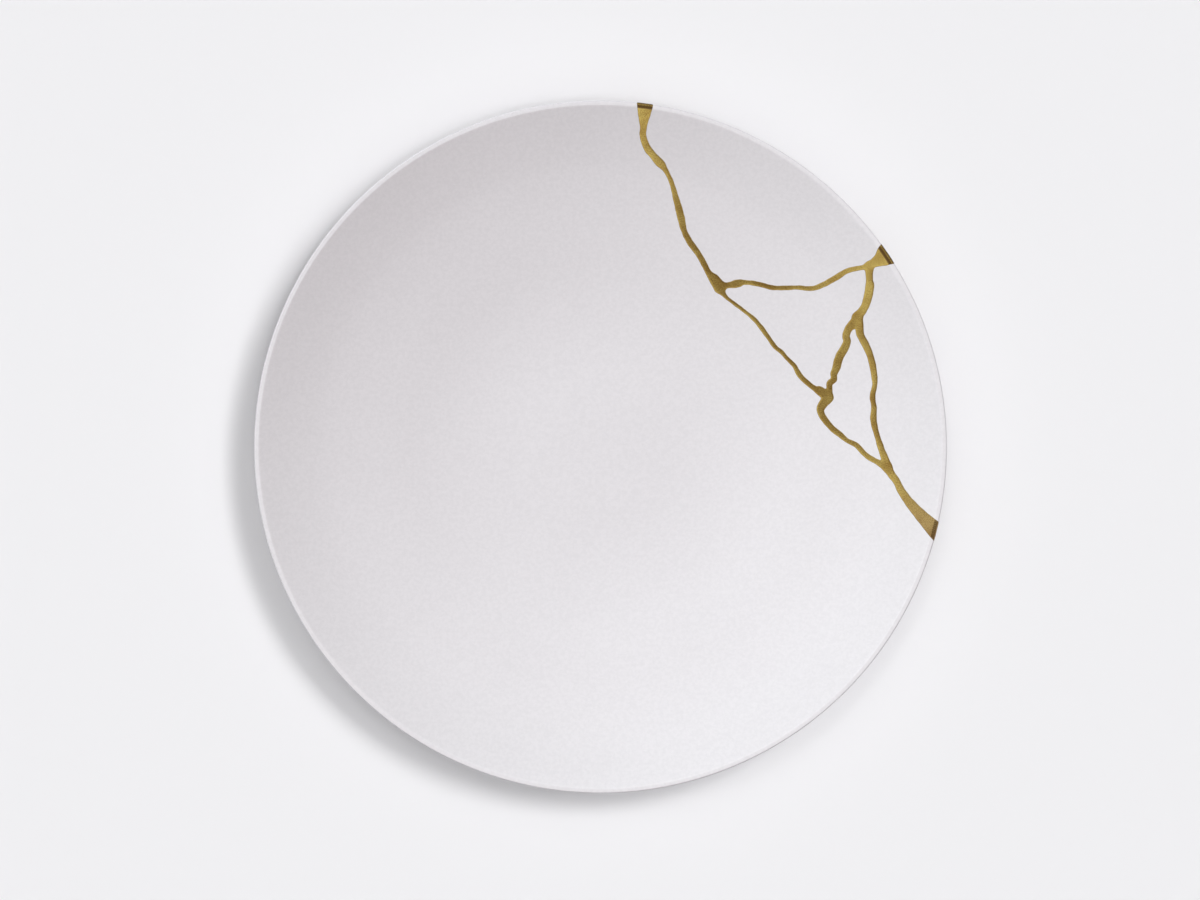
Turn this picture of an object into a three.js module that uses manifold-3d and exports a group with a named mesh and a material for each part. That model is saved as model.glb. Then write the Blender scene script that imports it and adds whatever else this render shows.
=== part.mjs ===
// A coupe dinner plate in glazed porcelain, broken into five shards and mended with gold seams.
// Millimetres, +Z up. The origin is the middle of the circle that the foot ring stands on.
import * as THREE from 'three';
import { mergeVertices } from 'three/addons/utils/BufferGeometryUtils.js';
import Module from 'manifold-3d';

const wasm = await Module();
wasm.setup();

// Driving dimensions of the plate.
const plateRadius = 133;
const flatRadius = 29; // the flat middle of the well
const bowlDepth = 17; // from the flat middle up to the lip
const floorThickness = 5; // wall at the middle
const lipThickness = 2.8; // wall at the rim, which ends in a full round
const footRadius = 68; // middle line of the foot ring
const footWidth = 3.4; // the ground face of the foot ring
const footHeight = 2.6; // from the ground up to the underside at the middle
const footEdge = 0.6; // corner cut beside the ground face
const footSlope = 0.35; // how far each flank leans out, for each millimetre of height

// Driving dimensions of the mend.
const goldWidth = 2.2; // the usual width of a gold line
const goldProud = 0.25; // how far the gold stands above the glaze, on both faces and round the lip
const goldWeb = 0.85; // how far the gold fills the corner where two lines meet
const jointGap = 0.3; // clearance between the gold and each shard

// Fineness of the solids.
const turnSteps = 96;
const bowlSteps = 8;
const lipSteps = 6;
const bendSteps = 8; // straight pieces between two knots of a line
const gridStep = 0.5;
const outlineTolerance = 0.06;

// The gold lines. A knot is x and y as shares of the plate's radius, and a share of goldWidth.
const seamLines = {
  top: [
    [0.129, 1.013, 2.79], [0.128, 0.981, 2.55], [0.124, 0.928, 1.19], [0.123, 0.9, 1.08],
    [0.134, 0.868, 1.21], [0.153, 0.843, 1.16], [0.172, 0.823, 1.38], [0.188, 0.803, 0.81],
    [0.206, 0.766, 0.74], [0.234, 0.665, 1.23], [0.243, 0.628, 0.93], [0.257, 0.6, 1.02],
    [0.287, 0.557, 0.98], [0.316, 0.506, 1.04], [0.334, 0.484, 1.85], [0.346, 0.465, 2.02],
  ],
  upper: [
    [0.348, 0.469, 1.41], [0.368, 0.47, 0.99], [0.4, 0.476, 1.3], [0.416, 0.479, 0.83],
    [0.469, 0.471, 0.74], [0.498, 0.463, 0.77], [0.57, 0.463, 0.67], [0.619, 0.461, 0.77],
    [0.685, 0.492, 0.95], [0.713, 0.509, 0.82], [0.767, 0.522, 0.87], [0.806, 0.541, 2.18],
    [0.827, 0.556, 3.66], [0.847, 0.569, 4.54],
  ],
  side: [
    [0.777, 0.523, 1.57], [0.778, 0.483, 1.08], [0.779, 0.466, 1.43], [0.767, 0.411, 1.37],
    [0.743, 0.374, 1.47],
  ],
  inner: [
    [0.743, 0.374, 1.4], [0.73, 0.355, 1.47], [0.718, 0.341, 1.26], [0.712, 0.322, 1.26],
    [0.715, 0.305, 1.3], [0.692, 0.257, 1.44], [0.686, 0.235, 1.37], [0.678, 0.212, 1.14],
    [0.677, 0.196, 1.02], [0.666, 0.185, 1.02], [0.665, 0.168, 0.98], [0.662, 0.148, 1.48],
  ],
  thin: [
    [0.349, 0.457, 1.23], [0.363, 0.439, 0.63], [0.444, 0.375, 0.6], [0.467, 0.349, 0.72],
    [0.511, 0.288, 0.63], [0.528, 0.275, 0.7], [0.541, 0.259, 0.53], [0.563, 0.237, 0.69],
    [0.581, 0.206, 0.84], [0.624, 0.169, 0.91], [0.637, 0.163, 1.51], [0.655, 0.15, 1.58],
  ],
  lower: [
    [0.662, 0.144, 1.79], [0.64, 0.112, 1.34], [0.642, 0.096, 1.09], [0.673, 0.054, 0.98],
    [0.697, 0.035, 0.88], [0.716, 0.019, 0.74], [0.74, 0.007, 0.79], [0.774, -0.027, 0.86],
    [0.802, -0.043, 0.88], [0.83, -0.061, 1.4],
  ],
  outer: [
    [0.745, 0.377, 1.66], [0.75, 0.353, 1.4], [0.753, 0.327, 1.23], [0.767, 0.298, 1.21],
    [0.781, 0.266, 1.07], [0.792, 0.22, 1.05], [0.795, 0.18, 0.82], [0.789, 0.148, 0.86],
    [0.793, 0.113, 0.89], [0.792, 0.078, 1.03], [0.8, 0.04, 0.88], [0.833, -0.061, 1.33],
  ],
  bottom: [
    [0.832, -0.058, 1.44], [0.842, -0.078, 1.26], [0.856, -0.097, 1.21], [0.874, -0.133, 1.29],
    [0.923, -0.195, 1.97], [0.991, -0.263, 3.4],
  ],
};

// A place inside each shard, as shares of the plate's radius.
const shardPlaces = {
  plate_body: [-0.3, 0],
  upper_rim_shard: [0.5, 0.68],
  right_rim_shard: [0.88, 0.15],
  inner_shard: [0.63, 0.35],
  narrow_shard: [0.74, 0.15],
};

// The wall's upper face is flat in the middle and then a parabola. The lip ends in a half circle.
const lipRadius = lipThickness / 2;
const floorLevel = footHeight + floorThickness;

function bowlHeight(radius, bowlEnd) {
  const share = Math.max(0, radius - flatRadius) / (bowlEnd - flatRadius);
  return floorLevel + bowlDepth * share * share;
}

function bowlSlope(radius, bowlEnd) {
  return 2 * bowlDepth * Math.max(0, radius - flatRadius) / (bowlEnd - flatRadius) ** 2;
}

// The bowl ends where the lip's half circle starts, and that circle just reaches the plate's radius.
function bowlEndRadius() {
  let bowlEnd = plateRadius - lipRadius;
  for (let pass = 0; pass < 20; pass += 1) {
    const lean = Math.atan(bowlSlope(bowlEnd, bowlEnd));
    bowlEnd = plateRadius - lipRadius * (1 + Math.sin(lean));
  }
  return bowlEnd;
}

const bowlEnd = bowlEndRadius();
const lipLean = Math.atan(bowlSlope(bowlEnd, bowlEnd));

// A point at a depth square to the upper face. A negative depth is above it.
function wallPoint(radius, depth) {
  const lean = Math.atan(bowlSlope(radius, bowlEnd));
  return new THREE.Vector2(radius + depth * Math.sin(lean), bowlHeight(radius, bowlEnd) - depth * Math.cos(lean));
}

function wallThickness(radius) {
  const share = Math.max(0, radius - flatRadius) / (bowlEnd - flatRadius);
  return THREE.MathUtils.lerp(floorThickness, lipThickness, share);
}

function undersidePoint(radius, grow) {
  return wallPoint(radius, wallThickness(radius) + grow);
}

// Where a flank of the foot ring meets the underside, found by stepping along the wall.
function footTop(flankFoot, side, grow) {
  let radius = flankFoot;
  for (let pass = 0; pass < 20; pass += 1) {
    const point = undersidePoint(radius, grow);
    radius += flankFoot + side * footSlope * point.y - point.x;
  }
  return radius;
}

// Half of the plate's section, from the axis over the upper face and lip and back under the foot.
function plateProfile(grow) {
  const points = [new THREE.Vector2(0, floorLevel + grow)];
  for (let step = 0; step <= bowlSteps; step += 1) {
    points.push(wallPoint(THREE.MathUtils.lerp(flatRadius, bowlEnd, step / bowlSteps), -grow));
  }
  const lipCentre = wallPoint(bowlEnd, lipRadius);
  for (let step = 1; step <= lipSteps; step += 1) {
    const angle = Math.PI / 2 + lipLean - Math.PI * step / lipSteps;
    const reach = new THREE.Vector2(Math.cos(angle), Math.sin(angle)).multiplyScalar(lipRadius + grow);
    points.push(lipCentre.clone().add(reach));
  }
  const outerFoot = footRadius + footWidth / 2 + grow;
  const innerFoot = footRadius - footWidth / 2 - grow;
  const outerTop = footTop(outerFoot, 1, grow);
  const innerTop = footTop(innerFoot, -1, grow);
  for (let step = 1; step <= bowlSteps; step += 1) {
    points.push(undersidePoint(THREE.MathUtils.lerp(bowlEnd, outerTop, step / bowlSteps), grow));
  }
  points.push(new THREE.Vector2(outerFoot + footSlope * footEdge, footEdge));
  points.push(new THREE.Vector2(outerFoot - footEdge, 0));
  points.push(new THREE.Vector2(innerFoot + footEdge, 0));
  points.push(new THREE.Vector2(innerFoot - footSlope * footEdge, footEdge));
  const underSteps = Math.ceil(bowlSteps / 3);
  for (let step = 0; step <= underSteps; step += 1) {
    points.push(undersidePoint(THREE.MathUtils.lerp(innerTop, flatRadius, step / underSteps), grow));
  }
  points.push(new THREE.Vector2(0, footHeight - grow));
  return points;
}

// Solids for cutting and joining.
function toSolid(geometry) {
  const bare = geometry.clone();
  bare.deleteAttribute('normal');
  bare.deleteAttribute('uv');
  const merged = mergeVertices(bare, 1e-4);
  const triangles = [];
  for (let i = 0; i < merged.index.count; i += 3) {
    const corners = [merged.index.getX(i), merged.index.getX(i + 1), merged.index.getX(i + 2)];
    if (new Set(corners).size === 3) {
      triangles.push(...corners);
    }
  }
  return new wasm.Manifold(new wasm.Mesh({
    numProp: 3,
    vertProperties: new Float32Array(merged.attributes.position.array),
    triVerts: new Uint32Array(triangles),
  }));
}

function toGeometry(solid) {
  const mesh = solid.getMesh();
  const geometry = new THREE.BufferGeometry();
  geometry.setAttribute('position', new THREE.BufferAttribute(new Float32Array(mesh.vertProperties), 3));
  geometry.setIndex(new THREE.BufferAttribute(new Uint32Array(mesh.triVerts), 1));
  geometry.computeVertexNormals();
  return geometry;
}

// A full turn of the section. The lathe turns about Y, so it is stood up on Z.
function turnedSolid(grow) {
  const section = plateProfile(grow).reverse();
  const lathe = new THREE.LatheGeometry(section, turnSteps);
  lathe.rotateX(Math.PI / 2);
  return toSolid(lathe);
}

// A gold line as short straight pieces, each with a start, an end and a half width at both.
function linePieces(knots) {
  const places = knots.map(([x, y, width]) => (
    new THREE.Vector3(x * plateRadius, y * plateRadius, width * goldWidth)
  ));
  const curve = new THREE.CatmullRomCurve3(places, false, 'centripetal');
  const points = curve.getPoints((places.length - 1) * bendSteps);
  return points.slice(1).map((end, i) => ({ start: points[i], end }));
}

function distanceToPiece(piece, x, y) {
  const alongX = piece.end.x - piece.start.x;
  const alongY = piece.end.y - piece.start.y;
  const offX = x - piece.start.x;
  const offY = y - piece.start.y;
  const share = THREE.MathUtils.clamp(
    (offX * alongX + offY * alongY) / (alongX * alongX + alongY * alongY),
    0,
    1,
  );
  const halfWidth = THREE.MathUtils.lerp(piece.start.z, piece.end.z, share) / 2;
  return Math.hypot(offX - share * alongX, offY - share * alongY) - halfWidth;
}

// Two distances joined with a soft corner, so that meeting lines share a web of gold.
function softNearest(a, b) {
  const share = THREE.MathUtils.clamp(0.5 + 0.5 * (b - a) / goldWeb, 0, 1);
  return THREE.MathUtils.lerp(b, a, share) - goldWeb * share * (1 - share);
}

const seamRoutes = Object.values(seamLines).map(linePieces);

// Distance to the edge of the gold, seen from above. It is negative inside the gold.
function distanceToGold(x, y) {
  return seamRoutes
    .map((pieces) => pieces.reduce((best, piece) => Math.min(best, distanceToPiece(piece, x, y)), Infinity))
    .reduce(softNearest);
}

// The grid that the gold's outline is traced on, with room on all sides.
const knotPoints = seamRoutes.flat().flatMap(({ start, end }) => [start, end]);
const widestLine = Math.max(...knotPoints.map((point) => point.z));
const gridRoom = widestLine / 2 + goldWeb + jointGap + 2 * gridStep;
const gridLeft = Math.min(...knotPoints.map((point) => point.x)) - gridRoom;
const gridBottom = Math.min(...knotPoints.map((point) => point.y)) - gridRoom;
const gridRight = Math.max(...knotPoints.map((point) => point.x)) + gridRoom;
const gridTop = Math.max(...knotPoints.map((point) => point.y)) + gridRoom;
const gridColumns = Math.ceil((gridRight - gridLeft) / gridStep) + 1;
const gridRows = Math.ceil((gridTop - gridBottom) / gridStep) + 1;
const gridField = new Float64Array(gridColumns * gridRows);
for (let row = 0; row < gridRows; row += 1) {
  for (let column = 0; column < gridColumns; column += 1) {
    gridField[row * gridColumns + column] = distanceToGold(gridLeft + column * gridStep, gridBottom + row * gridStep);
  }
}

// Where the outline at a level crosses the grid line between two neighbouring grid points.
function crossing(from, to, level) {
  const share = (level - gridField[from]) / (gridField[to] - gridField[from]);
  const column = THREE.MathUtils.lerp(from % gridColumns, to % gridColumns, share);
  const row = THREE.MathUtils.lerp(Math.floor(from / gridColumns), Math.floor(to / gridColumns), share);
  return new THREE.Vector2(gridLeft + column * gridStep, gridBottom + row * gridStep);
}

// Each grid square is two triangles. The outline crosses a triangle at most once, with the inside
// always on the same hand, so the crossings link up into closed loops.
function traceLoops(level) {
  const next = new Map();
  const places = new Map();
  const inside = (point) => gridField[point] < level;
  const crossOf = (a, b) => {
    const from = Math.min(a, b);
    const to = Math.max(a, b);
    const key = from * gridField.length + to;
    if (!places.has(key)) {
      places.set(key, crossing(from, to, level));
    }
    return key;
  };
  const crossTriangle = (corners) => {
    for (let turn = 0; turn < 3; turn += 1) {
      const [a, b, c] = [corners[turn], corners[(turn + 1) % 3], corners[(turn + 2) % 3]];
      if (inside(a) && !inside(b) && !inside(c)) {
        next.set(crossOf(a, b), crossOf(a, c));
      }
      if (!inside(a) && inside(b) && inside(c)) {
        next.set(crossOf(a, c), crossOf(a, b));
      }
    }
  };
  for (let row = 0; row < gridRows - 1; row += 1) {
    for (let column = 0; column < gridColumns - 1; column += 1) {
      const corner = row * gridColumns + column;
      crossTriangle([corner, corner + 1, corner + gridColumns + 1]);
      crossTriangle([corner, corner + gridColumns + 1, corner + gridColumns]);
    }
  }
  const loops = [];
  while (next.size > 0) {
    const loop = [];
    let key = next.keys().next().value;
    while (next.has(key)) {
      loop.push(places.get(key));
      const following = next.get(key);
      next.delete(key);
      key = following;
    }
    loops.push(loop);
  }
  return loops;
}

// Leaves out the points that lie within the tolerance of the line through their neighbours.
function thinOut(points) {
  const [first, last] = [points[0], points[points.length - 1]];
  const along = last.clone().sub(first);
  let worst = 0;
  let worstAt = 0;
  points.forEach((point, i) => {
    const off = point.clone().sub(first);
    const distance = along.length() > 0 ? Math.abs(along.cross(off)) / along.length() : off.length();
    if (distance > worst) {
      worst = distance;
      worstAt = i;
    }
  });
  if (worst <= outlineTolerance) {
    return [first, last];
  }
  return [...thinOut(points.slice(0, worstAt + 1)).slice(0, -1), ...thinOut(points.slice(worstAt))];
}

function thinLoop(loop) {
  const half = Math.floor(loop.length / 2);
  const firstHalf = thinOut(loop.slice(0, half + 1));
  const secondHalf = thinOut([...loop.slice(half), loop[0]]);
  return [...firstHalf.slice(0, -1), ...secondHalf.slice(0, -1)];
}

// A straight-sided cutter through the whole plate, along an outline of the gold. The loop with the
// largest area is the outside, and the others are the shards that the gold goes all the way round.
function seamCutter(level) {
  const loops = traceLoops(level).map(thinLoop);
  loops.sort((a, b) => Math.abs(THREE.ShapeUtils.area(b)) - Math.abs(THREE.ShapeUtils.area(a)));
  const outline = new THREE.Shape(loops[0]);
  outline.holes = loops.slice(1).map((loop) => new THREE.Path(loop));
  const room = floorLevel;
  const height = floorLevel + bowlDepth + 2 * room;
  const slab = new THREE.ExtrudeGeometry(outline, { depth: height, bevelEnabled: false, curveSegments: 1 });
  slab.translate(0, 0, -room);
  return toSolid(slab);
}

const porcelain = new THREE.MeshStandardMaterial({ color: 0xe1dfe2, roughness: 0.2, metalness: 0 });
const gold = new THREE.MeshStandardMaterial({ color: 0xa98a4c, roughness: 0.35, metalness: 0.9 });

function piece(name, solid, material) {
  const mesh = new THREE.Mesh(toGeometry(solid), material.clone());
  mesh.name = name;
  return mesh;
}

// The shard whose middle, seen from above, lies nearest to a named place.
function shardAt(shards, [x, y]) {
  const place = new THREE.Vector2(x * plateRadius, y * plateRadius);
  const offPlace = (shard) => {
    const box = shard.boundingBox();
    const middle = new THREE.Vector2((box.min[0] + box.max[0]) / 2, (box.min[1] + box.max[1]) / 2);
    return middle.distanceTo(place);
  };
  return shards.reduce((best, shard) => (offPlace(shard) < offPlace(best) ? shard : best));
}

const plate = new THREE.Group();
plate.name = 'kintsugi_dinner_plate';
const shards = turnedSolid(0).subtract(seamCutter(jointGap)).decompose();
Object.entries(shardPlaces).forEach(([name, place]) => {
  plate.add(piece(name, shardAt(shards, place), porcelain));
});
plate.add(piece('gold_seam', turnedSolid(goldProud).intersect(seamCutter(0)), gold));

export default plate;
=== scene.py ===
# A coupe dinner plate in glazed porcelain, broken at one side and mended with gold.
# Metres, +Z up. The plate stands on its foot ring at the origin, and is seen from straight above.
import math

import bpy
import numpy as np
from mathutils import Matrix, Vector
from mathutils.geometry import delaunay_2d_cdt


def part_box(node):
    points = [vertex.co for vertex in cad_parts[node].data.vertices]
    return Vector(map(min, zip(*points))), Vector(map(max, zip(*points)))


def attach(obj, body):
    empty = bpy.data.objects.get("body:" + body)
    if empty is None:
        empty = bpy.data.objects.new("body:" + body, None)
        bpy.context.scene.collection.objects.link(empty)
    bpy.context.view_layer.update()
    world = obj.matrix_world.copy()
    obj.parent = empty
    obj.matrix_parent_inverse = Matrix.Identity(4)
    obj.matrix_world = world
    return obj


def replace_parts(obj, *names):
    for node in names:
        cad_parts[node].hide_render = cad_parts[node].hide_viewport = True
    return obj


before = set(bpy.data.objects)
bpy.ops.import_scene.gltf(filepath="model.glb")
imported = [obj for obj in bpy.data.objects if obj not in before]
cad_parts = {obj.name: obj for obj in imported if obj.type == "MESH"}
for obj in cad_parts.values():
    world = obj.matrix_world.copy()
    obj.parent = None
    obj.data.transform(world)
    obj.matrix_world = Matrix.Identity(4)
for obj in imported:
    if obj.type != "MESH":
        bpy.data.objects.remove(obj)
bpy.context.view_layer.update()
scene = bpy.context.scene
millimetre = 0.001


# Section of the plate: the upper face is flat in the middle, and then its slope grows outwards

plateShape = {
    "flatRadius": 0.029,
    "bowlDepth": 0.017,
    "wallSlopes": [  # share of the way from the flat middle to the lip, and rise for each metre
        (0.0, 0.0), (0.42, 0.172), (0.575, 0.182), (0.757, 0.24), (0.81, 0.285), (1.0, 0.333),
    ],
    "bendShare": 0.03,  # how much of the way a change of slope is spread over
    "floorThickness": 0.005,
    "lipThickness": 0.0025,
    "lipSquareness": 7.0,  # 2 is a half circle, and more gives the lip a flatter top
    "lipCrease": 0.0002,  # width of the soft bend where the wall meets the lip
    "lipTilt": 0.045,  # how far the lip's top falls towards the middle, for each metre
    "footRadius": 0.068,
    "footWidth": 0.0034,
    "footHeight": 0.0026,
    "footSlope": 0.35,  # how far each flank leans out, for each metre of height
    "footRound": 0.0007,  # rounding of the ground face's corners
    "footFillet": 0.0016,  # glaze that fills the corner under the wall
    "guideReach": 0.004,  # how far off the underside's points are that the fillets lean on
    "outerRoom": 0.0018,  # left for the fillet outside the foot ring
    "innerRoom": 0.002,  # left for it inside
    "turnSteps": 384,
    "flatSteps": 12,
    "bowlSteps": 84,
    "lipSteps": 28,
    "roundSteps": 6,
    "underSteps": 8,
    "wallSteps": 400,
    "settleRounds": 20,
    "mergeGap": 0.000002,  # points of the turned section nearer than this become one
}
plateRadius = -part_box("plate_body")[0].x
lipRadius = plateShape["lipThickness"] / 2
floorLevel = plateShape["footHeight"] + plateShape["floorThickness"]


def wallTable():  # shares of the way outwards, slope there, and height reached there
    steps = plateShape["wallSteps"]
    shares = np.linspace(0, 1, steps + 1)
    spread = round(plateShape["bendShare"] * steps / 2)
    window = 2 * spread + 1
    slopes = np.pad(np.interp(shares, *zip(*plateShape["wallSlopes"])), spread, "edge")
    slopes = np.convolve(slopes, np.full(window, 1 / window), "valid")
    heights = np.concatenate([[0], np.cumsum(slopes[1:] + slopes[:-1]) / (2 * steps)])
    return shares, slopes / heights[-1], heights / heights[-1]


wallShares, wallSlopes, wallHeights = wallTable()


def bowlShare(radius):
    return max(0.0, radius - plateShape["flatRadius"]) / (bowlEnd - plateShape["flatRadius"])


def bowlLean(radius):
    slope = np.interp(bowlShare(radius), wallShares, wallSlopes)
    return math.atan(slope * plateShape["bowlDepth"] / (bowlEnd - plateShape["flatRadius"]))


bowlEnd = plateRadius - lipRadius
for settle in range(plateShape["settleRounds"]):
    bowlEnd = plateRadius - lipRadius * (1 + math.sin(bowlLean(bowlEnd)))


def wallPoint(radius, depth):  # depth is measured square to the upper face
    lean = bowlLean(radius)
    rise = np.interp(bowlShare(radius), wallShares, wallHeights)
    height = floorLevel + plateShape["bowlDepth"] * rise
    return np.array([radius + depth * math.sin(lean), height - depth * math.cos(lean)])


def undersidePoint(radius):
    taper = bowlShare(radius)
    thickness = plateShape["floorThickness"] * (1 - taper) + plateShape["lipThickness"] * taper
    return wallPoint(radius, thickness)


def lipPoint(angle):  # 0 points straight out
    power = plateShape["lipSquareness"]
    out, up = math.cos(angle), math.sin(angle)
    reach = lipRadius / (abs(out) ** power + abs(up) ** power) ** (1 / power)
    tilt = plateShape["lipTilt"] * max(0.0, up) * (out + math.sin(lipLean))
    return wallPoint(bowlEnd, lipRadius) + reach * np.array([out, up * math.cos(lipLean) + tilt])


def roundCorner(before, corner, after, reach):
    start = corner + reach * (before - corner) / np.linalg.norm(before - corner)
    end = corner + reach * (after - corner) / np.linalg.norm(after - corner)
    shares = np.linspace(0, 1, plateShape["roundSteps"] + 1)[:, None]
    return list((1 - shares) ** 2 * start + 2 * shares * (1 - shares) * corner + shares ** 2 * end)


def footTop(flankFoot, side):  # where a flank of the foot ring meets the underside
    radius = flankFoot
    for settle in range(plateShape["settleRounds"]):
        point = undersidePoint(radius)
        radius += flankFoot + side * plateShape["footSlope"] * point[1] - point[0]
    return radius


lipLean = bowlLean(bowlEnd)
lipJoin = math.pi / 2 + math.atan(math.sin(lipLean))  # where the wall meets the lip's top
outerFoot = plateShape["footRadius"] + plateShape["footWidth"] / 2
innerFoot = plateShape["footRadius"] - plateShape["footWidth"] / 2
outerTop = footTop(outerFoot, 1)
innerTop = footTop(innerFoot, -1)


def upperSection():  # from the axis to the outermost point of the lip
    flatEnd = plateShape["flatRadius"]
    radii = np.concatenate([
        np.linspace(0, flatEnd, plateShape["flatSteps"])[:-1],
        np.linspace(flatEnd, bowlEnd - plateShape["lipCrease"], plateShape["bowlSteps"]),
        [bowlEnd],
    ])
    bowl = [wallPoint(radius, 0) for radius in radii]
    lip = [lipPoint(angle) for angle in np.linspace(lipJoin, 0, plateShape["lipSteps"])]
    return np.array(bowl + lip[1:])


def lowerSection():  # from the outermost point of the lip to the foot ring
    lip = [lipPoint(angle) for angle in np.linspace(0, lipJoin - math.pi, plateShape["lipSteps"])]
    radii = np.linspace(bowlEnd, outerTop, plateShape["bowlSteps"] // 2)
    return np.array(lip + [undersidePoint(radius) for radius in radii[1:]])


def footSection():  # from the underside over the ground face to the axis
    guide = plateShape["guideReach"]
    corners = [
        undersidePoint(outerTop + guide), undersidePoint(outerTop), np.array([outerFoot, 0.0]),
        np.array([innerFoot, 0.0]), undersidePoint(innerTop), undersidePoint(innerTop - guide),
    ]
    fillet, rounding = plateShape["footFillet"], plateShape["footRound"]
    points = []
    for place, reach in enumerate((fillet, rounding, rounding, fillet)):
        points += roundCorner(*corners[place:place + 3], reach)
    start = innerTop - plateShape["innerRoom"]
    radii = np.linspace(start, plateShape["flatRadius"], plateShape["bowlSteps"] // 4)
    points += [undersidePoint(radius) for radius in radii]
    middle = np.linspace(plateShape["flatRadius"], 0, plateShape["underSteps"])[1:]
    return points + [np.array([radius, plateShape["footHeight"]]) for radius in middle]


def wholeSection():
    nearest = undersidePoint(outerTop)[0] + plateShape["outerRoom"]
    lower = [point for point in lowerSection()[1:] if point[0] > nearest]
    return np.array(list(upperSection()) + lower + footSection())


# The gold lines: a knot is x and y as shares of the plate's radius, and a share of the line width

goldShape = {
    "lineWidth": 0.0022,
    "web": 0.00085,  # how far the gold fills the corner where two lines meet
    "spread": 0.00015,  # how far the gold lies over the glaze beside the crack
    "ragged": 0.00018,  # how far the edge wanders off the drawn line
    "raggedSizes": (0.0062, 0.0036, 0.0023),
    "crown": 0.00016,  # how far the gold stands above the glaze
    "shoulder": 0.0002,  # how far in from the edge it rises
    "edgeSink": 0.00003,  # how far the gold's edge dips into the glaze
    "undulation": 0.00003,  # brush marks and dust build-up
    "undulationSizes": (0.0058, 0.0029, 0.0014),
    "overlap": 0.00012,  # how far the crack's faces stay inside the lines as drawn
    "innerLines": (0.08, 0.18, 0.3, 0.46, 0.7, 1.05, 1.5, 2.1, 2.9, 3.9),  # mm in from the gold's edge
    "lipRings": (0, 0.01, 0.055, 0.14, 0.28, 0.45, 0.6, 0.75, 0.92, 1.1, 1.4, 1.75, 1.9, 2.15),  # mm in
    "lipWear": [  # mm in from the plate's outline, and how far the gold is worn off there; the dark bands are also painted reflection
        (0.0, 1.0), (0.28, 1.0), (0.45, 0.1), (0.75, 0.1), (0.92, 0.95), (1.75, 0.95), (2.15, 0.0),
    ],
    "bandNarrowing": [(-0.03, 2.7), (-0.02, 1.0)],  # narrower bands at the lower end, by place along Y
    "cutterHeights": (-0.005, 0.035),  # bottom and top of the prism that cuts the plate
    "weldGap": 0.000004,  # points of the two faces nearer than this become one at the lip
    "gridStep": 0.00035,
    "gridMargin": 0.0045,
    "farOff": 1.0,  # distance given to the grid far from every line
    "ringSpacing": 1.2,  # between the points of a lip ring, in grid steps
    "mergeShare": 0.05,  # points nearer than this share of a grid step become one
    "wavesPerSize": 5,
    "bendSteps": 8,
    "seed": 7,
}
goldLines = {
    "top": [
        (0.129, 1.013, 2.79), (0.128, 0.981, 2.55), (0.124, 0.928, 1.19), (0.123, 0.9, 1.08),
        (0.134, 0.868, 1.21), (0.153, 0.843, 1.16), (0.172, 0.823, 1.38), (0.188, 0.803, 0.81),
        (0.206, 0.766, 0.74), (0.234, 0.665, 1.23), (0.243, 0.628, 0.93), (0.257, 0.6, 1.02),
        (0.287, 0.557, 0.98), (0.316, 0.506, 1.04), (0.334, 0.484, 1.85), (0.346, 0.465, 2.02),
    ],
    "upper": [
        (0.348, 0.469, 1.41), (0.368, 0.47, 0.99), (0.4, 0.476, 1.3), (0.416, 0.479, 0.83),
        (0.469, 0.471, 0.74), (0.498, 0.463, 0.77), (0.57, 0.463, 0.67), (0.619, 0.461, 0.77),
        (0.685, 0.492, 0.95), (0.713, 0.509, 0.82), (0.767, 0.522, 0.87), (0.806, 0.541, 2.18),
        (0.827, 0.556, 3.66), (0.847, 0.569, 4.54),
    ],
    "side": [
        (0.777, 0.523, 1.57), (0.778, 0.483, 1.08), (0.779, 0.466, 1.43), (0.767, 0.411, 1.37),
        (0.743, 0.374, 1.47),
    ],
    "inner": [
        (0.743, 0.374, 1.4), (0.73, 0.355, 1.47), (0.718, 0.341, 1.26), (0.712, 0.322, 1.26),
        (0.715, 0.305, 1.3), (0.692, 0.257, 1.44), (0.686, 0.235, 1.37), (0.678, 0.212, 1.14),
        (0.677, 0.196, 1.02), (0.666, 0.185, 1.02), (0.665, 0.168, 0.98), (0.662, 0.148, 1.48),
    ],
    "thin": [
        (0.349, 0.457, 1.23), (0.363, 0.439, 0.63), (0.444, 0.375, 0.6), (0.467, 0.349, 0.72),
        (0.511, 0.288, 0.63), (0.528, 0.275, 0.7), (0.541, 0.259, 0.53), (0.563, 0.237, 0.69),
        (0.581, 0.206, 0.84), (0.624, 0.169, 0.91), (0.637, 0.163, 1.51), (0.655, 0.15, 1.58),
    ],
    "lower": [
        (0.662, 0.144, 1.79), (0.64, 0.112, 1.34), (0.642, 0.096, 1.09), (0.673, 0.054, 0.98),
        (0.697, 0.035, 0.88), (0.716, 0.019, 0.74), (0.74, 0.007, 0.79), (0.774, -0.027, 0.86),
        (0.802, -0.043, 0.88), (0.83, -0.061, 1.4),
    ],
    "outer": [
        (0.745, 0.377, 1.66), (0.75, 0.353, 1.4), (0.753, 0.327, 1.23), (0.767, 0.298, 1.21),
        (0.781, 0.266, 1.07), (0.792, 0.22, 1.05), (0.795, 0.18, 0.82), (0.789, 0.148, 0.86),
        (0.793, 0.113, 0.89), (0.792, 0.078, 1.03), (0.8, 0.04, 0.88), (0.833, -0.061, 1.33),
    ],
    "bottom": [
        (0.832, -0.058, 1.44), (0.842, -0.078, 1.26), (0.856, -0.097, 1.21), (0.874, -0.133, 1.29),
        (0.923, -0.195, 1.97), (0.991, -0.263, 3.4),
    ],
}


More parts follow.
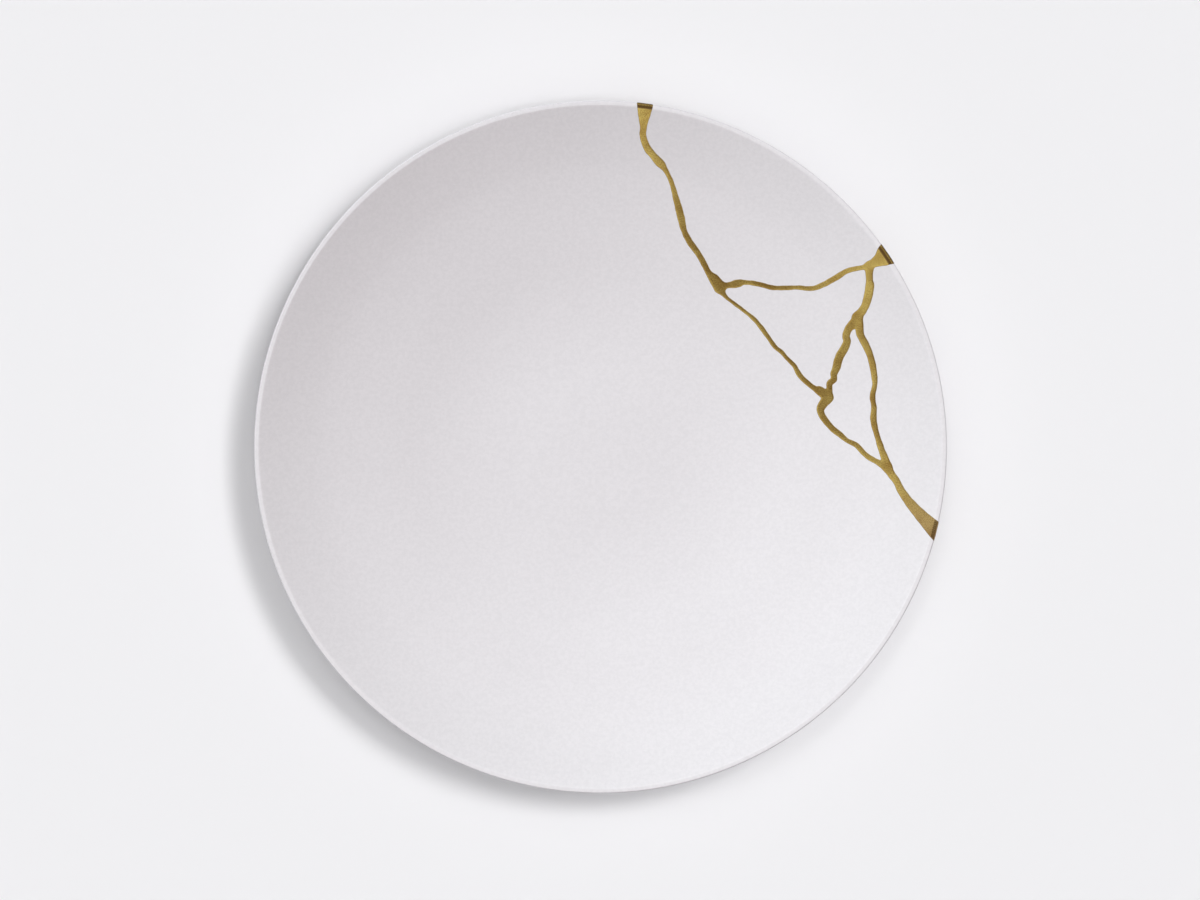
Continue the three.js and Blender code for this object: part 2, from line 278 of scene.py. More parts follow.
def curveThrough(knots):  # a centripetal spline, in metres
    spots = np.array(knots) * (plateRadius, plateRadius, goldShape["lineWidth"])
    spots = np.vstack([2 * spots[0] - spots[1], spots, 2 * spots[-1] - spots[-2]])
    points = []
    for a, b, c, d in zip(spots, spots[1:], spots[2:], spots[3:]):
        ta, tb, tc = np.cumsum([math.sqrt(np.linalg.norm(q - p)) for p, q in ((a, b), (b, c), (c, d))])
        for t in np.linspace(ta, tb, goldShape["bendSteps"], endpoint=False):
            ab = a + (b - a) * t / ta
            bc = b + (c - b) * (t - ta) / (tb - ta)
            cd = c + (d - c) * (t - tb) / (tc - tb)
            abc = ab + (bc - ab) * t / tb
            bcd = bc + (cd - bc) * (t - ta) / (tc - ta)
            points.append(abc + (bcd - abc) * (t - ta) / (tb - ta))
    return np.array(points + [spots[-2]])


def unevenWaves(x, y, sizes, seed):  # slow, seeded unevenness between -1 and 1
    chance = np.random.default_rng(seed)
    waves = np.zeros(np.shape(x))
    for size in sizes:
        for wave in range(goldShape["wavesPerSize"]):
            turn, start = chance.uniform(0, 2 * math.pi, 2)
            along = x * math.cos(turn) + y * math.sin(turn)
            waves += size * np.sin(along * 2 * math.pi / size + start)
    return waves / np.abs(waves).max()


def lineDistance(curve, corner, shape):  # distance to one line's edge, on the grid
    step = goldShape["gridStep"]
    distance = np.full(shape, goldShape["farOff"])
    for start, end in zip(curve, curve[1:]):
        reach = max(start[2], end[2]) / 2 + goldShape["gridMargin"]
        low = np.floor((np.minimum(start, end)[:2] - reach - corner) / step).astype(int).clip(0)
        high = np.ceil((np.maximum(start, end)[:2] + reach - corner) / step).astype(int) + 1
        window = tuple(slice(first, last) for first, last in zip(low, np.minimum(high, shape)))
        x, y = (origin + step * place for origin, place in zip(corner, np.mgrid[window]))
        along = end - start
        share = ((x - start[0]) * along[0] + (y - start[1]) * along[1]) / (along[:2] @ along[:2])
        share = share.clip(0, 1)
        off = np.hypot(x - start[0] - share * along[0], y - start[1] - share * along[1])
        half = (start[2] + share * along[2]) / 2
        distance[window] = np.minimum(distance[window], off - half)
    return distance


def joinSoftly(first, second):  # the smaller distance, with a web of gold where two lines meet
    web = goldShape["web"]
    mix = (0.5 + 0.5 * (second - first) / web).clip(0, 1)
    return second + (first - second) * mix - web * mix * (1 - mix)


def seamField():  # distance to the gold's edge on a grid seen from above, below zero inside the gold
    curves = [curveThrough(knots) for knots in goldLines.values()]
    everything = np.vstack(curves)
    room = everything[:, 2].max() / 2 + goldShape["gridMargin"]
    corner = everything[:, :2].min(0) - room
    reach = everything[:, :2].max(0) + room - corner
    shape = np.ceil(reach / goldShape["gridStep"]).astype(int) + 1
    distance = np.full(shape, goldShape["farOff"])
    for curve in curves:
        distance = joinSoftly(distance, lineDistance(curve, corner, shape))
    step = goldShape["gridStep"]
    x, y = (origin + step * place for origin, place in zip(corner, np.indices(shape)))
    ragged = unevenWaves(x, y, goldShape["raggedSizes"], goldShape["seed"])
    return distance + goldShape["ragged"] * ragged, corner


def goldDistance(points):  # below zero inside the gold
    place = (np.asarray(points)[:, :2] - fieldCorner) / goldShape["gridStep"]
    cell = np.floor(place).astype(int).clip(0, np.array(field.shape) - 2)
    i, j = cell.T
    u, v = (place - cell).T
    near = field[i, j] * (1 - u) + field[i + 1, j] * u
    far = field[i, j + 1] * (1 - u) + field[i + 1, j + 1] * u
    return near * (1 - v) + far * v


def goldOutline(level):  # points and edges of the outline where the distance is that level
    columns, rows = field.shape
    index = np.arange(columns * rows).reshape(columns, rows)
    corners = [index[:-1, :-1], index[1:, :-1], index[1:, 1:], index[:-1, 1:]]
    halves = [[corners[k].ravel() for k in half] for half in ((0, 1, 2), (0, 2, 3))]
    triangles = np.vstack([np.stack(half, 1) for half in halves])
    values = field.ravel()
    flags = values[triangles] < level
    crossed = flags.any(1) & ~flags.all(1)
    triangles, flags = triangles[crossed], flags[crossed]
    lone = np.where(flags.sum(1) == 1, flags.argmax(1), (~flags).argmax(1))
    each = np.arange(len(triangles))
    sides = [np.stack([triangles[each, lone], triangles[each, (lone + k) % 3]], 1) for k in (1, 2)]
    keys, places = np.unique(np.sort(np.vstack(sides), 1), axis=0, return_inverse=True)
    share = ((level - values[keys[:, 0]]) / (values[keys[:, 1]] - values[keys[:, 0]]))[:, None]
    first, last = (np.stack(np.divmod(keys[:, k], rows), 1) for k in (0, 1))
    spots = fieldCorner + goldShape["gridStep"] * (first * (1 - share) + last * share)
    return spots, places.reshape(2, -1).T


field, fieldCorner = seamField()


def meshInPlan(level, innerLevels, withLip):  # triangles that fill the outline at a level
    step = goldShape["gridStep"]
    farCorner = fieldCorner + step * (np.array(field.shape) - 1)
    points, edges = [], []
    count = 0
    for each in [level] + innerLevels:
        spots, links = goldOutline(each)
        points.append(spots)
        edges.append(links + count)
        count += len(spots)
    if withLip:
        for inward in goldShape["lipRings"]:
            ring = plateRadius - inward * millimetre
            turn = np.arange(0, 2 * math.pi, goldShape["ringSpacing"] * step / ring)
            spots = ring * np.stack([np.cos(turn), np.sin(turn)], 1)
            inGrid = ((spots > fieldCorner) & (spots < farCorner)).all(1)
            kept = np.flatnonzero(inGrid & (goldDistance(spots) < step))
            links = np.flatnonzero(np.diff(kept) == 1)
            points.append(spots[kept])
            edges.append(np.stack([links, links + 1], 1) + count)
            count += len(kept)
    flat = [Vector(spot) for spot in np.vstack(points)]
    nearest = goldShape["mergeShare"] * step
    made = delaunay_2d_cdt(flat, np.vstack(edges).tolist(), [], 0, nearest, False)
    spots = np.array([tuple(spot) for spot in made[0]])
    faces = np.array(made[2])
    middles = spots[faces].mean(1)
    kept = goldDistance(middles) < level
    if withLip:
        kept &= np.hypot(*middles.T) < plateRadius
    used, renumbered = np.unique(faces[kept], return_inverse=True)
    return spots[used], renumbered.reshape(-1, 3)


def openEdges(faces):  # directed edges that only one face has
    directed = np.vstack([faces[:, [0, 1]], faces[:, [1, 2]], faces[:, [2, 0]]])
    both = {tuple(edge) for edge in directed.tolist()}
    return [edge for edge in both if (edge[1], edge[0]) not in both]


def newObject(name, points, faces):
    mesh = bpy.data.meshes.new(name)
    mesh.from_pydata([tuple(point) for point in points], [], [tuple(face) for face in faces])
    mesh.validate()
    holder = bpy.data.objects.new(name, mesh)
    scene.collection.objects.link(holder)
    return holder


def newShell(name, first, second, faces):  # two sheets with the same faces, closed by a wall
    count = len(first)
    walls = [(b, a, a + count, b + count) for a, b in openEdges(faces)]
    everyFace = faces.tolist() + (faces[:, ::-1] + count).tolist() + walls
    shell = newObject(name, np.vstack([first, second]), everyFace)
    turnOutwards(shell.data)
    return shell


def meshPoints(mesh):
    points = np.zeros(len(mesh.vertices) * 3)
    mesh.vertices.foreach_get("co", points)
    return points.reshape(-1, 3)


def turnOutwards(mesh):  # flips a closed mesh whose volume counts as less than nothing
    mesh.calc_loop_triangles()
    corners = np.zeros(len(mesh.loop_triangles) * 3, int)
    mesh.loop_triangles.foreach_get("vertices", corners)
    a, b, c = meshPoints(mesh)[corners.reshape(-1, 3)].transpose(1, 0, 2)
    if np.einsum("ij,ij->i", a, np.cross(b, c)).sum() < 0:
        mesh.flip_normals()


def plainMesh(holder, name):
    bpy.context.view_layer.update()
    graph = bpy.context.evaluated_depsgraph_get()
    mesh = bpy.data.meshes.new_from_object(holder.evaluated_get(graph), depsgraph=graph)
    mesh.name = name
    holder.modifiers.clear()
    return mesh


creaseAngle = 35.0  # degrees past which an edge is shaded as a sharp one


def smooth(holder):
    mesh = holder.data
    mesh.polygons.foreach_set("use_smooth", np.ones(len(mesh.polygons), bool))
    mesh.set_sharp_from_angle(angle=math.radians(creaseAngle))


# Porcelain: the section is turned by Geometry Nodes, then cut along the seam

def turnTree():
    tree = bpy.data.node_groups.new("turnSection", "GeometryNodeTree")
    sockets = tree.interface
    sockets.new_socket("Section", in_out="INPUT", socket_type="NodeSocketGeometry")
    steps = sockets.new_socket("Turn Steps", in_out="INPUT", socket_type="NodeSocketInt")
    steps.default_value = plateShape["turnSteps"]
    gap = sockets.new_socket("Merge Distance", in_out="INPUT", socket_type="NodeSocketFloat")
    gap.default_value = plateShape["mergeGap"]
    finish = sockets.new_socket("Finish", in_out="INPUT", socket_type="NodeSocketMaterial")
    sockets.new_socket("Turned", in_out="OUTPUT", socket_type="NodeSocketGeometry")
    nodes, links = tree.nodes, tree.links

    def add(kind, **values):
        node = nodes.new(kind)
        for key, value in values.items():
            setattr(node, key, value)
        return node

    entry = add("NodeGroupInput")
    size = add("GeometryNodeAttributeDomainSize")
    links.new(entry.outputs["Section"], size.inputs["Geometry"])
    columns = add("ShaderNodeMath", operation="ADD")
    columns.inputs[1].default_value = 1
    links.new(entry.outputs["Turn Steps"], columns.inputs[0])
    grid = add("GeometryNodeMeshGrid")  # vertices run along the section first
    links.new(columns.outputs[0], grid.inputs["Vertices X"])
    links.new(size.outputs["Point Count"], grid.inputs["Vertices Y"])
    index = add("GeometryNodeInputIndex")
    along = add("FunctionNodeIntegerMath", operation="MODULO")
    around = add("FunctionNodeIntegerMath", operation="DIVIDE")
    for node in (along, around):
        links.new(index.outputs[0], node.inputs[0])
        links.new(size.outputs["Point Count"], node.inputs[1])
    place = add("GeometryNodeInputPosition")
    spot = add("GeometryNodeSampleIndex", data_type="FLOAT_VECTOR")
    links.new(entry.outputs["Section"], spot.inputs["Geometry"])
    links.new(place.outputs[0], spot.inputs["Value"])
    links.new(along.outputs[0], spot.inputs["Index"])
    share = add("ShaderNodeMath", operation="DIVIDE")
    links.new(around.outputs[0], share.inputs[0])
    links.new(entry.outputs["Turn Steps"], share.inputs[1])
    angle = add("ShaderNodeMath", operation="MULTIPLY")
    angle.inputs[1].default_value = 2 * math.pi
    links.new(share.outputs[0], angle.inputs[0])
    turned = add("ShaderNodeVectorRotate", rotation_type="Z_AXIS")
    links.new(spot.outputs[0], turned.inputs["Vector"])
    links.new(angle.outputs[0], turned.inputs["Angle"])
    move = add("GeometryNodeSetPosition")
    links.new(grid.outputs["Mesh"], move.inputs["Geometry"])
    links.new(turned.outputs[0], move.inputs["Position"])
    merge = add("GeometryNodeMergeByDistance")
    links.new(move.outputs[0], merge.inputs["Geometry"])
    links.new(entry.outputs["Merge Distance"], merge.inputs["Distance"])
    real = add("GeometryNodeRealizeInstances")
    links.new(merge.outputs[0], real.inputs[0])
    paint = add("GeometryNodeSetMaterial")
    links.new(real.outputs[0], paint.inputs["Geometry"])
    links.new(entry.outputs["Finish"], paint.inputs["Material"])
    leave = add("NodeGroupOutput")
    links.new(paint.outputs[0], leave.inputs[0])
    return tree, {"steps": steps.identifier, "gap": gap.identifier, "finish": finish.identifier}


def turnPlate(finish):
    points = [(radius, 0.0, height) for radius, height in wholeSection()]
    mesh = bpy.data.meshes.new("plateSection")
    mesh.from_pydata(points, [(i, i + 1) for i in range(len(points) - 1)], [])
    holder = bpy.data.objects.new("plateSection", mesh)
    scene.collection.objects.link(holder)
    tree, inputs = turnTree()
    turning = holder.modifiers.new("turnSection", "NODES")
    turning.node_group = tree
    turning[inputs["steps"]] = plateShape["turnSteps"]
    turning[inputs["gap"]] = plateShape["mergeGap"]
    turning[inputs["finish"]] = finish
    whole = plainMesh(holder, "turnedPlate")
    bpy.data.objects.remove(holder)
    turnOutwards(whole)
    turned = bpy.data.objects.new("turnedPlate", whole)
    scene.collection.objects.link(turned)
    return turned


def seamCutter():  # a straight-sided prism through the wall, a little inside the gold's edge
    spots, faces = meshInPlan(-goldShape["overlap"], [], False)
    low, high = (
        np.column_stack([spots, np.full(len(spots), height)]) for height in goldShape["cutterHeights"]
    )
    return newShell("seamCutter", low, high, faces[:, ::-1])


def splitIslands(mesh):  # vertex groups that edges join, by spreading the lowest number
    edges = np.zeros(len(mesh.edges) * 2, int)
    mesh.edges.foreach_get("vertices", edges)
    edges = edges.reshape(-1, 2)
    label = np.arange(len(mesh.vertices))
    while True:
        low = label[edges].min(1)
        before = label.copy()
        np.minimum.at(label, edges[:, 0], low)
        np.minimum.at(label, edges[:, 1], low)
        label = label[label]
        if (label == before).all():
            return label


def boxMiddle(node):
    low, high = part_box(node)
    return np.array((low + high) / 2)


shardNodes = ["plate_body", "upper_rim_shard", "right_rim_shard", "inner_shard", "narrow_shard"]


def cutShards(finish):
    whole = turnPlate(finish)
    cutter = seamCutter()
    cut = whole.modifiers.new("seamCut", "BOOLEAN")
    cut.operation = "DIFFERENCE"
    cut.solver = "EXACT"
    cut.object = cutter
    mesh = plainMesh(whole, "cutPlate")
    bpy.data.objects.remove(whole)
    bpy.data.objects.remove(cutter)
    label = splitIslands(mesh)
    points = meshPoints(mesh)
    faces = [tuple(face.vertices) for face in mesh.polygons]
    first = np.array([label[face[0]] for face in faces])
    shards = {}
    for island in np.unique(label):
        own = np.flatnonzero(label == island)
        middle = (points[own].min(0) + points[own].max(0)) / 2
        node = min(shardNodes, key=lambda name: np.linalg.norm(middle - boxMiddle(name)))
        number = np.full(len(label), -1)
        number[own] = np.arange(len(own))
        ownFaces = [tuple(number[list(faces[i])]) for i in np.flatnonzero(first == island)]
        shard = newObject("glazed_" + node, points[own], ownFaces)
        shard.data.materials.append(finish)
        smooth(shard)
        shards[node] = shard
        print("shard", node, len(own), "vertices")
    return shards


# Gold: a crowned bead over the seam, on both faces and round the lip

def sectionNormals(section):
    along = np.gradient(section, axis=0)
    normals = np.stack([-along[:, 1], along[:, 0]], 1)
    return normals / np.linalg.norm(normals, axis=1)[:, None]


def surfaceAt(section, spots, rise):  # spots in plan, lifted to the turned section and out by the rise
    order = np.argsort(section[:, 0], kind="stable")
    normals = sectionNormals(section)[order]
    distance = np.hypot(*spots.T)
    radius = distance.clip(0, plateRadius)
    height, outward, upward = (
        np.interp(radius, section[order, 0], values)
        for values in (section[order, 1], normals[:, 0], normals[:, 1])
    )
    reach = radius + outward * rise
    return np.column_stack([spots / distance[:, None] * reach[:, None], height + upward * rise])


def makeGold(finish):
    edge = goldShape["spread"]
    inner = [edge - line * millimetre for line in goldShape["innerLines"]]
    spots, faces = meshInPlan(edge, inner, True)
    depth = np.maximum(edge - goldDistance(spots), 0)
    marks = unevenWaves(*spots.T, goldShape["undulationSizes"], goldShape["seed"] + 1)
    sink = goldShape["edgeSink"]
    top = goldShape["crown"] + goldShape["undulation"] * (marks - 1)
    rise = (top + sink) * (1 - np.exp(-depth / goldShape["shoulder"])) - sink
    upper = surfaceAt(upperSection(), spots, rise)
    lower = surfaceAt(lowerSection(), spots, rise)
    gold = newShell("gold_bead", upper, lower, faces)
    inward = (plateRadius - np.hypot(*spots.T)) / millimetre
    inward *= np.interp(spots[:, 1], *zip(*goldShape["bandNarrowing"]))
    wearAndReflection = np.interp(inward, *zip(*goldShape["lipWear"]))  # brown lacquer shows on the lip too, through worn gold and as painted reflection in the dark bands
    gilt = np.minimum(depth / millimetre, goldFinish["edgeWidth"]) * (1 - wearAndReflection)
    shown = gold.data.attributes.new("edgeDepth", "FLOAT", "POINT")
    shown.data.foreach_set("value", np.tile(gilt, 2).astype(np.float32))
    weld = gold.modifiers.new("weldLip", "WELD")
    weld.merge_threshold = goldShape["weldGap"]
    gold.data = plainMesh(gold, "gold_bead")
    gold.data.materials.clear()
    gold.data.materials.append(finish)
    smooth(gold)
    print("gold", len(gold.data.polygons), "faces")
    return gold


# Finishes

def shaderNode(tree, kind, links=(), **values):
    node = tree.nodes.new(kind)
    for key, value in values.items():
        if hasattr(node, key):
            setattr(node, key, value)
        else:
            node.inputs[key.replace("_", " ")].default_value = value
    for socket, source in links:
        tree.links.new(source, node.inputs[socket])
    return node


def newFinish(name):
    finish = bpy.data.materials.new(name)
    finish.use_nodes = True
    return finish, finish.node_tree.nodes["Principled BSDF"]


def fullColour(colour):  # with its alpha, also from one number for a grey
    return (*colour, 1.0) if isinstance(colour, tuple) else (colour, colour, colour, 1.0)


def mixColours(tree, share, first, second, blend="MIX"):  # each is a socket or a plain value
    node = shaderNode(tree, "ShaderNodeMix", data_type="RGBA", blend_type=blend)
    for place, given in ((0, share), (6, first), (7, second)):
        if isinstance(given, bpy.types.NodeSocket):
            tree.links.new(given, node.inputs[place])
        else:
            node.inputs[place].default_value = fullColour(given) if place else given
    return node.outputs[2]


def mapRange(tree, source, **limits):
    return shaderNode(tree, "ShaderNodeMapRange", [("Value", source)], **limits).outputs[0]


def ramp(tree, source, stops, smoothly=True):  # a stop is a place and a colour or grey
    node = tree.nodes.new("ShaderNodeValToRGB")
    tree.links.new(source, node.inputs[0])
    colours = node.color_ramp
    colours.interpolation = "EASE" if smoothly else "LINEAR"
    while len(colours.elements) < len(stops):
        colours.elements.new(0.5)
    for element, (place, colour) in zip(colours.elements, stops):
        element.position = place
        element.color = fullColour(colour)
    return node.outputs[0]


def addRelief(tree, surface, height, strength, depth):
    bump = shaderNode(tree, "ShaderNodeBump", [("Height", height)], Strength=strength, Distance=depth)
    tree.links.new(bump.outputs[0], surface.inputs["Normal"])


unevenNoise = {  # detail and roughness
    "patches": (3.0, 0.55),
    "grain": (4.0, 0.6),
}


def unevenGroup():  # soft patches and fine grain, shared by the glaze and the gold
    group = bpy.data.node_groups.new("softUnevenness", "ShaderNodeTree")
    for name, kind in (("Place", "NodeSocketVector"), ("Patch Scale", "NodeSocketFloat"),
                       ("Grain Scale", "NodeSocketFloat"), ("Grain Share", "NodeSocketFloat")):
        group.interface.new_socket(name, in_out="INPUT", socket_type=kind)
    for name in ("Patches", "Grain", "Height"):
        group.interface.new_socket(name, in_out="OUTPUT", socket_type="NodeSocketFloat")
    entry = group.nodes.new("NodeGroupInput")
    leave = group.nodes.new("NodeGroupOutput")
    patches, grain = (
        shaderNode(group, "ShaderNodeTexNoise", Detail=detail, Roughness=roughness)
        for detail, roughness in unevenNoise.values()
    )
    for node, scale in ((patches, "Patch Scale"), (grain, "Grain Scale")):
        group.links.new(entry.outputs["Place"], node.inputs["Vector"])
        group.links.new(entry.outputs[scale], node.inputs["Scale"])
    mix = shaderNode(group, "ShaderNodeMix", data_type="FLOAT")
    group.links.new(entry.outputs["Grain Share"], mix.inputs[0])
    group.links.new(patches.outputs[0], mix.inputs[2])
    group.links.new(grain.outputs[0], mix.inputs[3])
    group.links.new(patches.outputs[0], leave.inputs["Patches"])
    group.links.new(grain.outputs[0], leave.inputs["Grain"])
    group.links.new(mix.outputs[0], leave.inputs["Height"])
    return group


def useUneven(tree, place, scales):
    node = shaderNode(tree, "ShaderNodeGroup", node_tree=unevenness)
    tree.links.new(place, node.inputs["Place"])
    for name, value in zip(("Patch Scale", "Grain Scale", "Grain Share"), scales):
        node.inputs[name].default_value = value
    return node


glazeFinish = {
    "uneven": (22.0, 720.0, 0.12),  # patch scale, grain scale, and the grain's share of the relief
    "white": [(0.3, (0.86, 0.83, 0.848)), (0.7, (0.871, 0.841, 0.859))],  # by patch, at the full brightness of the lip's painted-light ring
    "speckle": [(0.3, 0.948), (0.7, 1.0)],  # share of that white, by grain
    "wall": [(0.03, 1.0), (0.019, 0.985), (0.009, 0.973)],  # share of that white, by metres in from the outline: painted shade that darkens the outer wall
    # painted light that lifts the ring round the lip above the white further in, and painted shade in a
    # thin line along the outline
    "lip": [(0.0025, 0.935), (0.0015, 1.0), (0.0005, 1.0), (0.00025, (0.84, 0.83, 0.85))],
    "roughness": 0.24,
    "reflection": 0.2,
    "waviness": (0.5, 0.00006),  # strength and depth
    "bisque": (0.62, 0.56, 0.5),  # unglazed ground face of the foot ring
    "bisqueHeights": (0.00045, 0.00065),  # bare below the first, glazed above the second
    "bisqueRoughness": 0.85,
}


def makeGlaze():
    finish, surface = newFinish("porcelainGlaze")
    tree = finish.node_tree
    place = shaderNode(tree, "ShaderNodeTexCoord").outputs["Object"]
    uneven = useUneven(tree, place, glazeFinish["uneven"])
    white = ramp(tree, uneven.outputs["Patches"], glazeFinish["white"])
    speckle = ramp(tree, uneven.outputs["Grain"], glazeFinish["speckle"])
    shaded = mixColours(tree, 1.0, white, speckle, "MULTIPLY")
    split = shaderNode(tree, "ShaderNodeSeparateXYZ", [("Vector", place)])
    flat = [(name, split.outputs[name]) for name in ("X", "Y")]
    level = shaderNode(tree, "ShaderNodeCombineXYZ", flat)
    radius = shaderNode(tree, "ShaderNodeVectorMath", [(0, level.outputs[0])], operation="LENGTH")
    # painted shade on the outer wall, painted light on the lip's ring and a painted shade line along
    # the outline
    for zone in ("wall", "lip"):
        deepest = 2 * glazeFinish[zone][0][0]
        start = plateRadius - deepest
        outward = mapRange(tree, radius.outputs["Value"], From_Min=start, From_Max=plateRadius)
        stops = [(1 - reach / deepest, share) for reach, share in glazeFinish[zone]]
        shaded = mixColours(tree, 1.0, shaded, ramp(tree, outward, stops), "MULTIPLY")
    low, high = glazeFinish["bisqueHeights"]
    bare = mapRange(tree, split.outputs["Z"], From_Min=low, From_Max=high, To_Min=1.0, To_Max=0.0)
    colour = mixColours(tree, bare, shaded, glazeFinish["bisque"])
    rough = mapRange(tree, bare, To_Min=glazeFinish["roughness"], To_Max=glazeFinish["bisqueRoughness"])
    tree.links.new(colour, surface.inputs["Base Color"])
    tree.links.new(rough, surface.inputs["Roughness"])
    surface.inputs["Specular IOR Level"].default_value = glazeFinish["reflection"]
    addRelief(tree, surface, uneven.outputs["Height"], *glazeFinish["waviness"])
    return finish


goldFinish = {
    "uneven": (95.0, 4200.0, 0.3),  # as for the glaze
    "dust": [(0.35, (0.47, 0.285, 0.075)), (0.62, (0.7, 0.5, 0.155))],  # by relief
    "lowerEndShade": [(0.0, (0.76, 0.715, 0.97)), (1.0, 1.0)],  # share of that gold at the mend's lower end: painted shade that dims the gold's sheen there
    "lowerEndShadeRange": (-0.031, -0.01),  # along Y: full below the first place, none above the second
    "lacquer": (0.1, 0.05, 0.012),  # brown lacquer that shows along the edges
    "edgeWidth": 0.26,  # millimetres
    "metallic": (0.2, 0.88),  # of the lacquer, and of the gold
    "roughness": (0.17, 0.37),  # least and greatest, by grain
    "brushing": (0.6, 0.00016),  # strength and depth
}


def makeGoldFinish():
    finish, surface = newFinish("goldDust")
    tree = finish.node_tree
    place = shaderNode(tree, "ShaderNodeTexCoord").outputs["Object"]
    uneven = useUneven(tree, place, goldFinish["uneven"])
    dust = ramp(tree, uneven.outputs["Height"], goldFinish["dust"])
    split = shaderNode(tree, "ShaderNodeSeparateXYZ", [("Vector", place)])
    # painted shade on the gold's sheen at the mend's lower end
    low, high = goldFinish["lowerEndShadeRange"]
    along = mapRange(tree, split.outputs["Y"], From_Min=low, From_Max=high)
    dust = mixColours(tree, 1.0, dust, ramp(tree, along, goldFinish["lowerEndShade"]), "MULTIPLY")
    edge = shaderNode(tree, "ShaderNodeAttribute", attribute_name="edgeDepth")
    gilt = mapRange(tree, edge.outputs["Fac"], From_Max=goldFinish["edgeWidth"])
    colour = mixColours(tree, gilt, goldFinish["lacquer"], dust)
    low, high = goldFinish["metallic"]
    metal = mapRange(tree, gilt, To_Min=low, To_Max=high)
    low, high = goldFinish["roughness"]
    rough = mapRange(tree, uneven.outputs["Grain"], To_Min=low, To_Max=high)
    tree.links.new(colour, surface.inputs["Base Color"])
    tree.links.new(metal, surface.inputs["Metallic"])
    tree.links.new(rough, surface.inputs["Roughness"])
    addRelief(tree, surface, uneven.outputs["Height"], *goldFinish["brushing"])
    return finish


# Camera, table and light

photoView = {
    "imageSize": (1200, 900),  # pixels
    "plateMiddle": (600.55, 446.95),  # pixels, where the photo shows the plate's middle
    "plateRadius": 346.1,  # pixels, from there to the outline
    "cameraHeight": 1.6,  # above the table
    "sensorWidth": 36.0,  # millimetres, as the lens
    "clipStart": 0.05,
}


def makeCamera():
    low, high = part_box("plate_body")
    rimDepth = photoView["cameraHeight"] - high.z + lipRadius
    pixelsPerMetre = photoView["plateRadius"] / -low.x
    offX = (photoView["plateMiddle"][0] - photoView["imageSize"][0] / 2) / pixelsPerMetre
    offY = (photoView["imageSize"][1] / 2 - photoView["plateMiddle"][1]) / pixelsPerMetre
    camera = bpy.data.cameras.new("photoCamera")
    camera.sensor_width = photoView["sensorWidth"]
    camera.lens = photoView["sensorWidth"] * pixelsPerMetre * rimDepth / photoView["imageSize"][0]
    camera.clip_start = photoView["clipStart"]
    holder = bpy.data.objects.new("photoCamera", camera)
    holder.location = (-offX, -offY, photoView["cameraHeight"])
    scene.collection.objects.link(holder)
    scene.camera = holder


studio = {
    "tableColour": (0.884, 0.88, 0.898),
    "tableSize": 8.0,
    "tableEven": (0.0, 90.0, 90.0, 0.92),  # a lamp as below, which nothing shades
    "tableLamps": [  # turn and height in degrees, width across in degrees, power
        (36.0, 60.0, 16.0, 0.982), (12.0, 60.0, 8.0, 0.265), (348.0, 65.0, 8.0, 0.095),
        (110.0, 70.0, 16.0, 0.289), (300.0, 80.0, 8.0, 0.33), (0.0, 90.0, 170.0, 0.232),
    ],
    "softKey": (131.0, 40.0, 60.0, 2.97),
    "softKeyColour": (0.893, 0.985, 1.0),
    "overhead": (330.0, 86.0, 58.0, 1.12),
    "overheadColour": (1.0, 0.86, 0.87),
    "lampDistance": 2.0,
    "sky": 0.06,
    "gloss": [  # brightness that polished faces see: height as the sine of its angle, and value
        (0.0, 0.3), (0.34, (0.5, 0.51, 0.5)), (0.64, (0.84, 0.88, 0.82)),
        (0.8, (1.0, 1.07, 0.97)), (0.86, (0.78, 0.81, 0.74)), (0.905, (0.34, 0.32, 0.28)),
        (0.95, (0.27, 0.24, 0.2)), (0.985, (0.12, 0.11, 0.09)), (1.0, (0.06, 0.055, 0.045)),
    ],
}


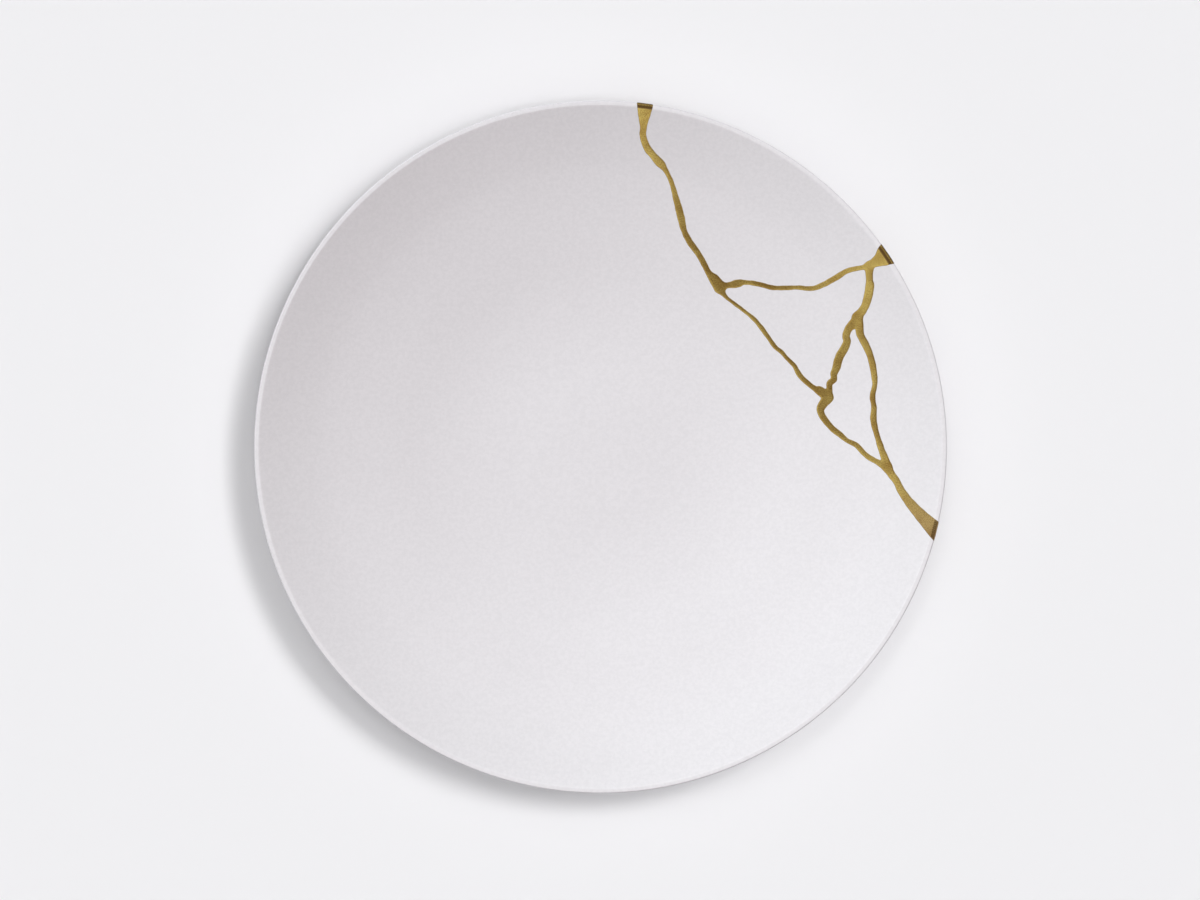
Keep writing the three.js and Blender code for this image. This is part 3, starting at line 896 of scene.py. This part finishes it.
def newLamp(name, lamp, reached):  # a wide, far light that reaches only the given objects
    turn, height, width, power = lamp
    light = bpy.data.lights.new(name, "SUN")
    light.energy = power
    light.angle = math.radians(width)
    holder = bpy.data.objects.new(name, light)
    holder.visible_camera = False
    turn, height = math.radians(turn), math.radians(height)
    flat = math.cos(height)
    away = Vector((math.cos(turn) * flat, math.sin(turn) * flat, math.sin(height)))
    holder.location = away * studio["lampDistance"]
    holder.rotation_euler = away.to_track_quat("Z", "Y").to_euler()
    scene.collection.objects.link(holder)
    receivers = bpy.data.collections.new(name + "Receivers")
    for each in reached:
        receivers.objects.link(each)
    holder.light_linking.receiver_collection = receivers
    return holder


def makeTable():
    half = studio["tableSize"] / 2
    corners = [(-half, -half, 0), (half, -half, 0), (half, half, 0), (-half, half, 0)]
    table = newObject("table", corners, [(0, 1, 2, 3)])
    finish, surface = newFinish("paleTable")
    surface.inputs["Base Color"].default_value = fullColour(studio["tableColour"])
    surface.inputs["Roughness"].default_value = 1.0
    surface.inputs["Specular IOR Level"].default_value = 0.0
    table.data.materials.append(finish)
    return table


def lightTable(table):
    even = newLamp("tableEven", studio["tableEven"], [table])
    even.data.use_shadow = False
    for lamp in studio["tableLamps"]:
        newLamp("tableLamp", lamp, [table])


def lightPlate(plate):
    for name in ("softKey", "overhead"):
        holder = newLamp(name, studio[name], plate)
        holder.data.color = studio[name + "Colour"]
        holder.visible_glossy = False


def makeWorld():  # the camera sees the table's colour, polished faces a bright band, the rest a dim sky
    world = bpy.data.worlds.new("paleStudio")
    scene.world = world
    world.use_nodes = True
    tree = world.node_tree
    ray = shaderNode(tree, "ShaderNodeLightPath")
    place = shaderNode(tree, "ShaderNodeTexCoord")
    split = shaderNode(tree, "ShaderNodeSeparateXYZ", [("Vector", place.outputs["Generated"])])
    band = ramp(tree, split.outputs["Z"], studio["gloss"], False)
    dim = mixColours(tree, ray.outputs["Is Glossy Ray"], studio["sky"], band)
    seen = mixColours(tree, ray.outputs["Is Camera Ray"], dim, studio["tableColour"])
    tree.links.new(seen, tree.nodes["Background"].inputs["Color"])
    scene.view_settings.view_transform = "Standard"


makeCamera()
print("camera ready")
unevenness = unevenGroup()
shards = cutShards(makeGlaze())
print("porcelain ready")
goldBead = makeGold(makeGoldFinish())
print("gold ready")
for node, shard in shards.items():
    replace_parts(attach(shard, "root"), node)
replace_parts(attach(goldBead, "root"), "gold_seam")
lightTable(makeTable())
lightPlate(list(shards.values()) + [goldBead])
makeWorld()
print("table and light ready")
